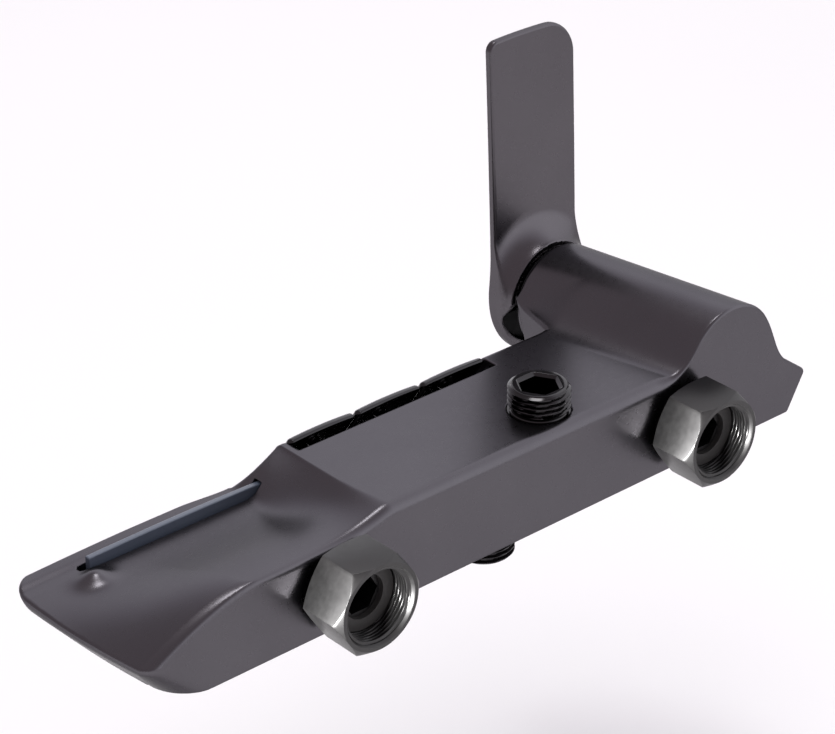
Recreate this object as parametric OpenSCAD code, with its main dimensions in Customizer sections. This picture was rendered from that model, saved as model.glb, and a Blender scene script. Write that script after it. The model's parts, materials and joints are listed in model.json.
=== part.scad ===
// Wall mounted bath mixer: sculpted body with a blade spout, three push keys and a paddle lever.
// Millimetres. +Z is up, +Y points to the wall, and the origin is midway between the two
// wall connections, in the plane where their union nuts end.

/* [Body] */
// Height of the body slab between its flat face and its key face
body_h = 35; // [33:0.5:38]
// Depth of the slab from the back face to the top of its sloping front face
slab_d = 53; // [52:0.5:55]
// Depth from the back face to the rim that runs round the body
rim_d = 65; // [64:0.5:68]
// Height of that rim above the flat face, at the front
front_rim_h = 17.5; // [16.5:0.5:18.5]
// Height of the rim at the spout end
end_rim_h = 15; // [14:0.5:16]
// Distance from the middle to the tip of the spout end
spout_x = 153.5; // [150:0.5:158]
// Distance from the middle to the step where the spout surface starts
step_x = 55; // [54:0.5:56]
// Radius of the rounded edge between the back face and the key face
back_edge_r = 3.5; // [2.5:0.5:4]

/* [Wall connections] */
// Distance between the centres of the hot and the cold inlet
inlet_pitch = 150; // [150:1:153]
// How far the union nuts stand out from the back face
inlet_reach = 20; // [20:0.5:22]
// Size of the union nuts across their flats
nut_af = 30; // [30:0.5:32]
// Minor radius of the G3/4 thread in a union nut
nut_thread_r = 12.06; // [12.00:0.01:12.20]
// Radius of the G1/2 thread on the tails and on the outlet nipples
half_inch_r = 10.4775; // [10.40:0.0005:10.50]
// Size of the hexagon sockets across their flats
socket_af = 12; // [11:0.5:12]

/* [Outlets] */
// Distance of the outlet nipples from the back face
nipple_d = 15; // [14.5:0.5:16]
// How far an outlet nipple stands out of the body
nipple_h = 9.3; // [8:0.1:11]
// Place of the upper outlet along the body
top_outlet_x = -23; // [-24:0.5:-21]
// Place of the lower outlet along the body
bottom_outlet_x = 1; // [0:0.5:2]
// Length of the spout blade
blade_len = 74; // [70:1:75]
// Thickness of the spout blade
blade_t = 2; // [1.6:0.1:2.4]

/* [Lever] */
// Distance of the cartridge barrel from the middle
barrel_x = 88.2; // [87.5:0.1:89]
// Height of the barrel's axis above the flat face
barrel_h = 31.4; // [31:0.1:32]
// Outer radius of the barrel
barrel_r = 19.4; // [19:0.1:20]
// Depth from the back face to the barrel's mouth
mouth_d = 74.4; // [73:0.1:76]
// Width of the lever
lever_w = 40; // [36:0.5:41]
// Height of the lever above the barrel's axis
lever_h = 97; // [80:1:110]
// Thickness of the lever's plate
lever_t = 2.8; // [2.4:0.1:3.2]
// Angle by which the lever leans away from the wall
lever_lean = 2; // [0:0.5:3]

/* [Keys] */
// Distance between neighbouring keys
key_pitch = 28.3; // [28:0.1:28.4]
// Gap between neighbouring keys
key_gap = 0.7; // [0.6:0.1:1]
// Height of the key stems above the flat face
stem_h = 24; // [23.5:0.5:24.5]
// Radius of a key stem
stem_r = 2.5; // [2.3:0.1:2.6]

/* [Hidden] */

$fn = 64;
over = 1;              // how far a cutter runs past the face it cuts
fit = 0.05;            // radial clearance of a shaft in its bore
inlet_h = body_h / 2;
inlet_x = inlet_pitch / 2;

// Body outline
bottom_d = 56;         // depth of the flat face
end_inset = 13;        // how far the flat face stops short of the rim at the spout end
back_corner_r = 8.4;
front_corner_r = 12;
spout_back_x = spout_x - 12;
hump_back_x = 98.2;    // the hump leans sideways, so it meets the back face further out
hump_skew = atan((hump_back_x - barrel_x) / mouth_d);
fillet_r = 8;          // radius between the hump and the key face

// Spout surface
wave_back_h = 30.6;    // height of the surface at the back face
wave_flat_d = 53;      // depth from which the surface stays level
wave_end = 38;         // length over which it falls to the rim at the end

// Key pocket and valves
pocket_w = 3 * key_pitch + 0.4;
pocket_x = 10;         // middle of the pocket
pocket_d = 46;         // depth of its back wall
pocket_floor = 13.5;
key_xs = [pocket_x + key_pitch, pocket_x, pocket_x - key_pitch];
key_travel = 3;
chamber_d = 22;        // depth of a valve chamber's end
chamber_r = 6;
sleeve_len = 12;
seat_d = pocket_d - sleeve_len;
head_r = 4.8;

// Blade slot
blade_x = 92.3;
blade_d = 57;
blade_top = 21.2;
slot_d = [53, 59.5];
slot_floor = 9;

// Waterways
mixed_h = 10;
mixed_d = 34;
port_r = 6;            // bore behind an outlet nipple
port_xy = [[-5.5, 3], [5.5, 3], [0, -6]];

// Wall connections
valve_bore_r = 7.55;   // bore for a check valve, half in the tail and half in the body
valve_bore_end = 21;   // its depth in the body
feed_end = 28.5;       // depth of the waterway behind it
tail_in = 12;          // length of a tail inside the body
neck_r = 8.9;
flange_r = 11.7;
flange_y = [7, 10];
nut_y = [2.5, inlet_reach];
lip_y = 6.8;
thread_y = 12.2;       // where the thread starts in a union nut
gasket_t = 2;
nipple_in = 7;
waterway_r = 4;

// Cartridge, along its own axis: 0 is the barrel's mouth and + points out to the lever
chamber_bore_r = 12.9;
chamber_end = -44;
nut_bore_r = 14.6;
nut_bore_end = -13;
base_top = -38;
fixed_top = -34.5;
moving_top = -31;
carrier_top = -26.6;
pivot_z = -17;
driver_top = -6;
ball_z = -28.2;
ball_r = 2.1;
stem_side = 6;
stem_top = 10.2;
rim_z = 2.8;           // back edge of the lever's hub
disc_y = -1.9;         // how far the moving disc sits below the axis at rest
front_z = 13.6;        // front face of the lever

gunmetal = [0.29, 0.285, 0.30];
dark = [0.07, 0.07, 0.08];
brass = [0.78, 0.66, 0.42];
steel = [0.72, 0.73, 0.75];
rubber = [0.05, 0.05, 0.05];
ceramic = [0.93, 0.92, 0.88];
plastic = [0.85, 0.85, 0.83];

// Body coordinates: y = 0 is the back face and z = 0 the flat face
module body_frame() {
    translate([0, -inlet_reach, -inlet_h])
        children();
}

// A piece drawn along +Z, turned to run along -Y from a point on the back face
module along_depth(x, h) {
    translate([x, 0, h])
        rotate([90, 0, 0])
            children();
}

// Cartridge coordinates: +Z runs out of the barrel, +X and +Y stay sideways and up
module cartridge_frame() {
    body_frame()
        translate([-barrel_x, -mouth_d, barrel_h])
            rotate([90, 0, 0])
                children();
}

module ring(r_out, r_in, h) {
    difference() {
        cylinder(r = r_out, h = h);
        translate([0, 0, -over])
            cylinder(r = r_in, h = h + 2 * over);
    }
}

// A hexagonal prism, h long, from its size across flats
module hexagon(af, h) {
    cylinder(r = af / sqrt(3), h = h, $fn = 6);
}

module o_ring(r_mid, r_cord) {
    rotate_extrude()
        translate([r_mid, 0])
            circle(r = r_cord, $fn = 16);
}

function arc(cx, cy, r, a0, a1, steps) =
    [for (i = [0 : steps]) let (a = a0 + (a1 - a0) * i / steps) [cx + r * cos(a), cy + r * sin(a)]];

// Height of the spout surface, dist millimetres inside the end of the rim
function clamp01(v) = min(1, max(0, v));
function wave_side(y) = front_rim_h
    + (wave_back_h - front_rim_h) * (1 + cos(180 * clamp01(-y / wave_flat_d))) / 2;
function wave_fade(dist) = 1 - pow(1 - clamp01(dist / wave_end), 1.5);
function rim_end(y) = y > -back_corner_r
    ? spout_back_x + sqrt(max(0, pow(back_corner_r, 2) - pow(y + back_corner_r, 2)))
    : spout_x - 3.6 * pow(clamp01((y + 44) / 36), 2);
function wave_height(x, y) = end_rim_h + (wave_side(y) - end_rim_h) * wave_fade(rim_end(y) - x);

// A coil spring along +Z, as a tube of six sides swept round a helix
module coil_spring(r_mid, r_wire, h, turns) {
    steps = 12;
    sides = 6;
    rings = turns * steps;
    points = [for (i = [0 : rings], j = [0 : sides - 1])
        let (a = 360 * i / steps, b = 360 * j / sides, r = r_mid + r_wire * cos(b))
        [r * cos(a), r * sin(a), r_wire * (1 + sin(b)) + (h - 2 * r_wire) * i / rings]];
    walls = [for (i = [0 : rings - 1], j = [0 : sides - 1])
        let (a = i * sides + j, b = i * sides + (j + 1) % sides)
        each [[a, b, b + sides], [a, b + sides, a + sides]]];
    cap = [for (j = [0 : sides - 1]) j];
    last = [for (j = [sides - 1 : -1 : 0]) rings * sides + j];
    polyhedron(points, concat([last], walls, [cap]));
}

// Cross-section of the slab, depth against height
module slab_section(top = body_h) {
    edge = arc(-back_edge_r, top - back_edge_r, back_edge_r, 0, 90, 6);
    polygon(concat([[0, 0]], edge,
        [[-slab_d, top], [-slab_d, body_h], [-rim_d, front_rim_h], [-bottom_d, 0]]));
}

module slab() {
    translate([-hump_back_x, 0, 0])
        rotate([90, 0, 90])
            linear_extrude(hump_back_x + step_x + 2)
                slab_section();
}

// Outline of the rim at the spout end, seen from above
module rim_outline(inset) {
    polygon(concat(
        [[step_x, 0]],
        arc(spout_back_x - inset, -back_corner_r, back_corner_r, 90, 25, 6),
        [[spout_x - inset - 1.2, -24], [spout_x - inset, -44]],
        arc(spout_x - inset - front_corner_r, front_corner_r - rim_d, front_corner_r, 0, -90, 6),
        [[step_x, -rim_d]]));
}

module bottom_outline() {
    intersection() {
        rim_outline(end_inset);
        translate([0, -bottom_d])
            square([spout_x, bottom_d]);
    }
}

// Everything above the spout surface
module wave_cutter() {
    nx = 18;
    ny = 12;
    x0 = step_x;
    x1 = spout_x + 2;
    y0 = -rim_d - 2;
    y1 = 2;
    cut_top = body_h + 20;
    sx = [for (i = [0 : nx]) x0 + (x1 - x0) * i / nx];
    sy = [for (j = [0 : ny]) y0 + (y1 - y0) * j / ny];
    low = [for (i = [0 : nx], j = [0 : ny]) [sx[i], sy[j], wave_height(sx[i], min(0, max(-rim_d, sy[j])))]];
    top = [[x0, y0, cut_top], [x0, y1, cut_top], [x1, y1, cut_top], [x1, y0, cut_top]];
    n = len(low);
    row = ny + 1;
    floor_faces = [for (i = [0 : nx - 1], j = [0 : ny - 1])
        let (a = i * row + j)
        each [[a, a + row, a + row + 1], [a, a + row + 1, a + 1]]];
    near_wall = concat([n + 1, n], [for (j = [0 : ny]) j]);
    far_wall = concat([n + 3, n + 2], [for (j = [ny : -1 : 0]) nx * row + j]);
    front_wall = concat([n, n + 3], [for (i = [nx : -1 : 0]) i * row]);
    back_wall = concat([n + 2, n + 1], [for (i = [0 : nx]) i * row + ny]);
    polyhedron(concat(low, top),
        concat(floor_faces, [near_wall, far_wall, front_wall, back_wall, [n, n + 1, n + 2, n + 3]]));
}

module spout_wing() {
    difference() {
        hull() {
            translate([0, 0, end_rim_h])
                linear_extrude(body_h - end_rim_h)
                    rim_outline(0);
            linear_extrude(0.4)
                bottom_outline();
        }
        wave_cutter();
    }
}

// Outline of the foot of the barrel and of the fin beyond it, seen from the front.
// Its upper points lie inside the barrel, so only the fillet and the fin stand out of it.
module hump_section() {
    foot_y = body_h - barrel_h;
    inside = 0.05;
    reach = barrel_r + fillet_r - inside;
    centre_x = sqrt(pow(reach, 2) - pow(foot_y + fillet_r, 2));
    touch = asin((foot_y + fillet_r) / reach);
    polygon(concat(
        [[0, 15], [-12, 14], [-17.8, 7], [-21.3, 1], [-24.4, -5.5], [-27, -8.4], [-30, -10.6],
            [-35.9, -14], [-38.2, -15.4], [-39.2, -16.8], [-38.4, -18.8], [-31.4, -30],
            [-29, -barrel_h], [centre_x + 6, -barrel_h], [centre_x + 6, foot_y]],
        arc(centre_x, foot_y + fillet_r, fillet_r, 270, 180 + touch, 6)));
}

// Along the barrel's skewed axis, from behind the back face
module skewed() {
    translate([-hump_back_x - 4 * tan(hump_skew), 4, barrel_h])
        rotate([90, 0, hump_skew])
            children();
}

module barrel_foot() {
    intersection() {
        skewed()
            linear_extrude(rim_d + 12)
                hump_section();
        translate([-hump_back_x - 60, 0, 0])
            rotate([90, 0, 90])
                linear_extrude(130)
                    slab_section(body_h + 30);
    }
}

module barrel() {
    intersection() {
        skewed()
            cylinder(r = barrel_r, h = mouth_d + 16);
        translate([-hump_back_x - 40, -mouth_d, 0])
            cube([100, mouth_d, 80]);
    }
}

module key_pocket() {
    translate([pocket_x - pocket_w / 2, -rim_d - over, pocket_floor])
        cube([pocket_w, rim_d + over - pocket_d, body_h]);
}

module blade_slot() {
    gap = 0.8;
    translate([blade_x - blade_len / 2 - gap, -slot_d[1], slot_floor])
        cube([blade_len + 2 * gap, slot_d[1] - slot_d[0], blade_top + 2 - slot_floor]);
}

// Bores of one inlet, from the back face
module inlet_bores(x) {
    along_depth(x, inlet_h) {
        translate([0, 0, -over])
            cylinder(r = half_inch_r + fit, h = tail_in + over);
        cylinder(r = valve_bore_r + fit, h = valve_bore_end);
        cylinder(r = waterway_r, h = feed_end);
    }
}

module outlet_bore(x, dir) {
    translate([x, -nipple_d, dir > 0 ? body_h : 0])
        mirror([0, 0, dir > 0 ? 1 : 0]) {
            translate([0, 0, -over])
                cylinder(r = half_inch_r + fit, h = nipple_in + over);
            cylinder(r = port_r, h = stem_h);
        }
}

// One key valve's chamber and its feed from the mixed water
module valve_bores(x) {
    along_depth(x, stem_h)
        translate([0, 0, chamber_d])
            cylinder(r = chamber_r, h = pocket_d - chamber_d + over);
    translate([x, -seat_d - 4, mixed_h])
        cylinder(r = 2.5, h = 10);
}

module cartridge_bores() {
    translate([-barrel_x, -mouth_d, barrel_h])
        rotate([90, 0, 0]) {
            translate([0, 0, chamber_end])
                cylinder(r = chamber_bore_r, h = -chamber_end + over);
            translate([0, 0, nut_bore_end])
                cylinder(r = nut_bore_r, h = over - nut_bore_end);
            for (p = port_xy)
                translate([p[0], p[1], chamber_end - 7])
                    cylinder(r = 2.8, h = 8);
        }
}

// A drilling along X between two places
module drilling(x0, x1, d, h, r) {
    translate([x0, -d, h])
        rotate([0, 90, 0])
            cylinder(r = r, h = x1 - x0);
}

// Drilled waterways that join inlets, cartridge, valves and spout
module waterways() {
    hot_h = 6.5;
    hot_d = 25.5;
    hot_x = port_xy[0][0] - barrel_x;
    port_h = port_xy[0][1] + barrel_h;
    drilling(hot_x, inlet_x, hot_d, hot_h, 3);
    translate([inlet_x, -hot_d, hot_h])
        cylinder(r = 2.5, h = inlet_h - hot_h);
    translate([hot_x, -hot_d, hot_h])
        cylinder(r = 2.5, h = port_h - hot_h);
    translate([-inlet_x - 5.5, -26, inlet_h])
        cylinder(r = 2.8, h = port_h - inlet_h);
    drilling(-barrel_x, blade_x, mixed_d, mixed_h, 4);
    translate([-barrel_x, 5.5 - mixed_d, mixed_h + 1.5])
        cylinder(r = 3, h = barrel_h + port_xy[2][1] - mixed_h - 1.5);
    drilling(key_xs[2], key_xs[0], nipple_d + 6, stem_h, 2.5);
    translate([top_outlet_x, -nipple_d - 6, stem_h])
        rotate([-90, 0, 0])
            cylinder(r = 2.5, h = 6);
    translate([blade_x, -slot_d[0] - over, mixed_h])
        rotate([-90, 0, 0])
            cylinder(r = 3, h = slot_d[0] + over - mixed_d);
}

module body_casting() {
    color(gunmetal)
        body_frame()
            difference() {
                union() {
                    slab();
                    spout_wing();
                    barrel_foot();
                    barrel();
                }
                key_pocket();
                blade_slot();
                for (side = [-1, 1])
                    inlet_bores(side * inlet_x);
                outlet_bore(top_outlet_x, 1);
                outlet_bore(bottom_outlet_x, -1);
                for (x = key_xs)
                    valve_bores(x);
                cartridge_bores();
                waterways();
            }
}

module spout_blade() {
    flange_h = 3;
    color([0.27, 0.31, 0.37])
        body_frame()
            translate([blade_x - blade_len / 2, 0, 0]) {
                difference() {
                    union() {
                        translate([0, -blade_d - blade_t / 2, slot_floor])
                            cube([blade_len, blade_t, blade_top - slot_floor]);
                        translate([0, -slot_d[1] + 0.3, slot_floor])
                            cube([blade_len, slot_d[1] - slot_d[0] - 0.6, flange_h]);
                    }
                    for (i = [0 : 11])
                        translate([5 + i * (blade_len - 10) / 11, -slot_d[0] - 1.6, slot_floor - over])
                            cylinder(r = 0.9, h = flange_h + 2 * over, $fn = 24);
                }
            }
}

// A male thread adaptor with a hexagon socket, drawn standing on +Z from its body end
module nipple() {
    undercut_r = 9.4;
    difference() {
        union() {
            cylinder(r = half_inch_r, h = nipple_in);
            translate([0, 0, nipple_in])
                cylinder(r = undercut_r, h = 1.2);
            translate([0, 0, nipple_in + 1.2])
                cylinder(r = half_inch_r, h = nipple_h - 1.9);
            translate([0, 0, nipple_in + nipple_h - 0.7])
                cylinder(r1 = half_inch_r, r2 = half_inch_r - 0.7, h = 0.7);
        }
        translate([0, 0, 5])
            hexagon(socket_af, nipple_in + nipple_h);
        translate([0, 0, -over])
            cylinder(r = 5, h = nipple_in);
    }
}

module outlet_nipple_top() {
    color(gunmetal)
        body_frame()
            translate([top_outlet_x, -nipple_d, body_h - nipple_in])
                nipple();
}

module outlet_nipple_bottom() {
    color(gunmetal)
        body_frame()
            translate([bottom_outlet_x, -nipple_d, nipple_in])
                rotate([180, 0, 0])
                    nipple();
}

// Flat seals under the inner ends of the two outlet nipples
module nipple_seals() {
    seal_t = 1;
    color(rubber)
        body_frame() {
            translate([top_outlet_x, -nipple_d, body_h - nipple_in - seal_t])
                ring(port_r - 0.1, 4.6, seal_t);
            translate([bottom_outlet_x, -nipple_d, nipple_in])
                ring(port_r - 0.1, 4.6, seal_t);
        }
}

// Tail that screws into the body and carries a union nut, drawn from its inner end
module inlet_tail() {
    socket_len = 12;
    total = tail_in + flange_y[1];
    difference() {
        union() {
            cylinder(r = half_inch_r, h = tail_in - 0.4);
            translate([0, 0, tail_in - 0.4])
                cylinder(r = neck_r, h = flange_y[0] + 0.4);
            translate([0, 0, tail_in + flange_y[0]])
                cylinder(r = flange_r, h = flange_y[1] - flange_y[0]);
        }
        translate([0, 0, -over])
            cylinder(r = valve_bore_r, h = tail_in - 5 + over);
        translate([0, 0, total - socket_len])
            hexagon(socket_af, socket_len + over);
        translate([0, 0, 1])
            cylinder(r = 5.4, h = total - socket_len);
    }
}

// Children drawn along +Z from the tail's inner end, at the inlet on this side
module at_inlet(side) {
    body_frame()
        translate([side * inlet_x, -tail_in, inlet_h])
            rotate([-90, 0, 0])
                children();
}

module inlet_tail_left() {
    color(steel)
        at_inlet(1)
            inlet_tail();
}

module inlet_tail_right() {
    color(steel)
        at_inlet(-1)
            inlet_tail();
}

module tail_seals() {
    color(rubber)
        for (side = [-1, 1])
            at_inlet(side)
                translate([0, 0, tail_in + 0.1])
                    ring(half_inch_r, neck_r + 0.05, 1.5);
}

module inlet_gaskets() {
    color(dark)
        for (side = [-1, 1])
            at_inlet(side)
                translate([0, 0, tail_in + flange_y[1]])
                    ring(flange_r, 7.6, gasket_t);
}

cv_len = 14;
cv_z = -8.9;           // start of the check valve, from the tail's inner end

// Body of a check valve: a tube with a seat at its wall end and a spider at the other
module check_valve_body() {
    wall_r = valve_bore_r - fit;
    inner_r = 6.2;
    color(plastic)
        translate([0, 0, cv_z]) {
            ring(wall_r, inner_r, cv_len);
            translate([0, 0, cv_len - 2])
                ring(inner_r + 0.2, 4, 2);
            difference() {
                union() {
                    cylinder(r = 2.6, h = 3);
                    for (a = [0 : 120 : 240])
                        rotate([0, 0, a])
                            translate([0, -0.8, 0])
                                cube([inner_r + 0.2, 1.6, 2]);
                }
                translate([0, 0, -over])
                    cylinder(r = 1.2 + fit, h = 5);
            }
        }
}

module check_valve_body_left() {
    at_inlet(1)
        check_valve_body();
}

module check_valve_body_right() {
    at_inlet(-1)
        check_valve_body();
}

module check_poppet() {
    color([0.2, 0.35, 0.6])
        translate([0, 0, cv_z]) {
            translate([0, 0, cv_len - 4])
                cylinder(r = 5.4, h = 1.9);
            translate([0, 0, 0.4])
                cylinder(r = 1.2, h = cv_len - 4);
        }
}

module check_poppet_left() {
    at_inlet(1)
        check_poppet();
}

module check_poppet_right() {
    at_inlet(-1)
        check_poppet();
}

module check_spring() {
    color(steel)
        translate([0, 0, cv_z + 2.1])
            coil_spring(3.9, 0.3, cv_len - 6.2, 5);
}

module check_spring_left() {
    at_inlet(1)
        check_spring();
}

module check_spring_right() {
    at_inlet(-1)
        check_spring();
}

// Union nut with chamfered corners, an inner lip behind and the thread in front
module union_nut() {
    corner_r = nut_af / sqrt(3);
    len = nut_y[1] - nut_y[0];
    mouth_r = 13.3;
    mouth_len = 1.4;
    difference() {
        intersection() {
            rotate([0, 0, 4])
                hexagon(nut_af, len);
            union() {
                cylinder(r1 = corner_r - 2.6, r2 = corner_r, h = 1.6);
                translate([0, 0, 1.6])
                    cylinder(r = corner_r, h = len - 3.2);
                translate([0, 0, len - 1.6])
                    cylinder(r1 = corner_r, r2 = corner_r - 2.4, h = 1.6);
            }
        }
        translate([0, 0, -over])
            cylinder(r = neck_r + 0.1, h = len);
        translate([0, 0, lip_y - nut_y[0]])
            cylinder(r = nut_thread_r + 0.5, h = thread_y - lip_y);
        translate([0, 0, thread_y - nut_y[0] - 0.01])
            cylinder(r = nut_thread_r, h = len);
        translate([0, 0, len - mouth_len])
            cylinder(r1 = nut_thread_r, r2 = mouth_r, h = mouth_len + 0.01);
    }
}

module union_nut_left() {
    color(gunmetal)
        at_inlet(1)
            translate([0, 0, tail_in + nut_y[0]])
                union_nut();
}

module union_nut_right() {
    color(gunmetal)
        at_inlet(-1)
            translate([0, 0, tail_in + nut_y[0]])
                union_nut();
}

module cartridge_base() {
    color(plastic)
        cartridge_frame()
            difference() {
                translate([0, 0, chamber_end])
                    cylinder(r = chamber_bore_r - fit, h = base_top - chamber_end);
                for (p = port_xy) {
                    translate([p[0], p[1], chamber_end - over])
                        cylinder(r = 2.4, h = 10);
                    translate([p[0], p[1], chamber_end - over])
                        cylinder(r = 3.6, h = over + 1.6);
                }
            }
}

module base_seals() {
    color(rubber)
        cartridge_frame()
            for (p = port_xy)
                translate([p[0], p[1], chamber_end])
                    ring(3.55, 2.45, 1.6);
}

module fixed_disc() {
    color(ceramic)
        cartridge_frame()
            difference() {
                translate([0, 0, base_top])
                    cylinder(r = 10.4, h = fixed_top - base_top);
                for (p = port_xy)
                    translate([p[0], p[1], base_top - over])
                        cylinder(r = 2.3, h = 8);
            }
}

// The moving disc covers the ports at rest and slides up to open them
module moving_disc() {
    color(ceramic)
        cartridge_frame()
            difference() {
                translate([0, disc_y, fixed_top])
                    cylinder(r = 8.2, h = moving_top - fixed_top);
                translate([0, disc_y - 1.7, fixed_top - over])
                    cylinder(r = 5, h = over + 2);
            }
}

module disc_carrier() {
    slot = 2 * ball_r + 0.3;
    color([0.75, 0.2, 0.15])
        cartridge_frame()
            difference() {
                translate([0, disc_y, moving_top])
                    cylinder(r = 6.6, h = carrier_top - moving_top);
                translate([-slot / 2, -slot / 2, moving_top + 0.3])
                    cube([slot, slot, 6]);
            }
}

// Turret that turns in the housing and carries the stem's pivot pin
module cartridge_driver() {
    skirt = carrier_top + 0.4;
    color(plastic)
        cartridge_frame()
            difference() {
                union() {
                    translate([0, 0, skirt])
                        cylinder(r = 10.4, h = -14.4 - skirt);
                    translate([0, 0, -15])
                        cylinder(r = 9.3, h = driver_top + 15);
                }
                translate([-stem_side / 2 - 0.2, -stem_side / 2 - 4.8, skirt - over])
                    cube([stem_side + 0.4, stem_side + 8.4, driver_top - skirt + 2 * over]);
                translate([-12, 0, pivot_z])
                    rotate([0, 90, 0])
                        cylinder(r = 1.5 + fit, h = 24);
            }
}

module stem_pin() {
    half = 9.2;
    color(steel)
        cartridge_frame()
            translate([-half, 0, pivot_z])
                rotate([0, 90, 0])
                    cylinder(r = 1.5, h = 2 * half);
}

module cartridge_stem() {
    neck = 3.4;
    color(steel)
        cartridge_frame()
            difference() {
                union() {
                    translate([-stem_side / 2, -stem_side / 2, pivot_z - 4])
                        cube([stem_side, stem_side, stem_top - pivot_z + 4]);
                    translate([-neck / 2, -neck / 2, ball_z])
                        cube([neck, neck, pivot_z - 3 - ball_z]);
                    translate([0, 0, ball_z])
                        sphere(r = ball_r);
                }
                translate([-stem_side, 0, pivot_z])
                    rotate([0, 90, 0])
                        cylinder(r = 1.5 + fit, h = 2 * stem_side);
            }
}

module cartridge_housing() {
    color(plastic)
        cartridge_frame() {
            translate([0, 0, base_top])
                ring(chamber_bore_r - 0.1, 10.5, -14 - base_top);
            translate([0, 0, -14])
                ring(chamber_bore_r - 0.1, 9.4, 1);
            translate([0, 0, -13])
                ring(11, 9.4, 6.6);
        }
}

module clamp_nut() {
    slots = 6;
    top_z = -5;
    color(brass)
        cartridge_frame()
            difference() {
                translate([0, 0, nut_bore_end])
                    ring(nut_bore_r - fit, 11.1, top_z - nut_bore_end);
                for (i = [0 : slots - 1])
                    rotate([0, 0, 360 * i / slots])
                        translate([12.6, -1.2, top_z - 2.5])
                            cube([4, 2.4, 4]);
            }
}

// Dark dust ring that closes the barrel's mouth behind the lever
module trim_ring() {
    inner_r = 10.6;
    color(dark)
        cartridge_frame() {
            translate([0, 0, -5])
                ring(nut_bore_r - 0.1, 12.6, 5);
            ring(18.2, inner_r, 0.9);
        }
}

// Outline of the lever's plate, across and up from the barrel's axis
module lever_outline() {
    half = lever_w / 2;
    bottom = 25;
    small_r = 5;
    large_r = 14;
    polygon(concat(
        [for (a = [180 : 9 : 360]) [half * cos(a), bottom * sin(a)]],
        arc(half - small_r, lever_h - 1.6 - small_r, small_r, 0, 80, 5),
        [[4, lever_h], [-3, lever_h - 0.3]],
        arc(large_r - half, lever_h - 2 - large_r, large_r, 80, 180, 8)));
}

module lever_plate() {
    rotate([lever_lean, 0, 0])
        translate([0, 0, front_z - lever_t])
            linear_extrude(lever_t)
                lever_outline();
}

// Hollow of the hub that clears the dust ring and the stem
module hub_hollow() {
    translate([0, 0, rim_z - over])
        cylinder(r = 17, h = 5 + over);
}

module hub() {
    difference() {
        union() {
            hull() {
                translate([0, 0, rim_z])
                    cylinder(r = 19.2, h = 0.4, $fn = 48);
                intersection() {
                    translate([0, 0, 10.9])
                        linear_extrude(1.6)
                            lever_outline();
                    translate([-40, -40, 0])
                        cube([80, 58, 20]);
                }
            }
            flare();
        }
        hub_hollow();
    }
    translate([0, 0, 5])
        cylinder(r = 6, h = 6);
}

// Concave dish between the plate's back and the upper half of the hub's rim
module flare() {
    back_z = front_z - lever_t + 1;
    intersection() {
        rotate_extrude($fn = 96)
            polygon([[17, rim_z], [19.2, rim_z], [19.9, 5.2], [21.6, 7.4], [24.4, 9.2], [28.4, 10.5],
                [34, back_z], [17, back_z]]);
        translate([-lever_w / 2, 0, 0])
            cube([lever_w, 40, 20]);
    }
}

grub_r = 2.5;
grub_y = -14.5;        // the grub screw's outer end, below the stem

module lever_handle() {
    color(gunmetal)
        cartridge_frame()
            difference() {
                union() {
                    lever_plate();
                    hub();
                }
                translate([-stem_side / 2 - 0.05, -stem_side / 2 - 0.05, 0])
                    cube([stem_side + 0.1, stem_side + 0.1, stem_top + 0.1]);
                translate([0, -stem_side / 2, 9.5])
                    rotate([90, 0, 0])
                        cylinder(r = grub_r + fit, h = 40);
            }
}

module grub_screw() {
    color(steel)
        cartridge_frame()
            translate([0, -stem_side / 2 - 0.1, 9.5])
                rotate([90, 0, 0])
                    difference() {
                        cylinder(r = grub_r, h = -grub_y - stem_side / 2);
                        translate([0, 0, -grub_y - stem_side / 2 - 3])
                            hexagon(2.5, 4);
                    }
}

module screw_cap() {
    color(dark)
        cartridge_frame()
            translate([0, grub_y - 2, 9.5])
                rotate([90, 0, 0])
                    cylinder(r = grub_r, h = 5.5);
}

// One key: a plate on the slope of the front face, with a boss for its stem
module key(x) {
    w = key_pitch - key_gap;
    slope = (rim_d - slab_d) / (body_h - front_rim_h);
    foot_z = pocket_floor + 0.8;
    top_z = body_h + 0.4;
    t = 2.9;
    proud = 0.5;
    front_top = -slab_d - proud;
    front_foot = front_top - slope * (body_h - foot_z - 2);
    color(dark)
        body_frame()
            difference() {
                union() {
                    translate([x - w / 2, 0, 0])
                        rotate([90, 0, 90])
                            linear_extrude(w)
                                polygon([
                                    [front_top + t, top_z - 1], [front_top + t - 0.6, top_z],
                                    [front_top + 0.8, top_z], [front_top, body_h - 0.6],
                                    [front_foot, foot_z + 1.4], [front_foot + 1, foot_z],
                                    [front_foot + t + 1, foot_z], [front_top + t, body_h - 4]]);
                    along_depth(x, stem_h)
                        translate([0, 0, -front_top - t - 0.6])
                            cylinder(r = 4.2, h = 7.4);
                }
                along_depth(x, stem_h)
                    translate([0, 0, 40])
                        cylinder(r = stem_r + 0.02, h = 17);
            }
}

module key_left() {
    key(key_xs[0]);
}

module key_middle() {
    key(key_xs[1]);
}

module key_right() {
    key(key_xs[2]);
}

// Stem from a key's boss through its sleeve to the head that carries the washer
module valve_stem(x) {
    color(steel)
        body_frame()
            along_depth(x, stem_h) {
                translate([0, 0, seat_d - 5])
                    cylinder(r = stem_r, h = 57 - seat_d + 5);
                translate([0, 0, seat_d - 5])
                    cylinder(r = head_r, h = 3);
                translate([0, 0, pocket_d + 3.2])
                    cylinder(r = 3.2, h = 0.8);
            }
}

module valve_stem_left() {
    valve_stem(key_xs[0]);
}

module valve_stem_middle() {
    valve_stem(key_xs[1]);
}

module valve_stem_right() {
    valve_stem(key_xs[2]);
}

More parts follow.
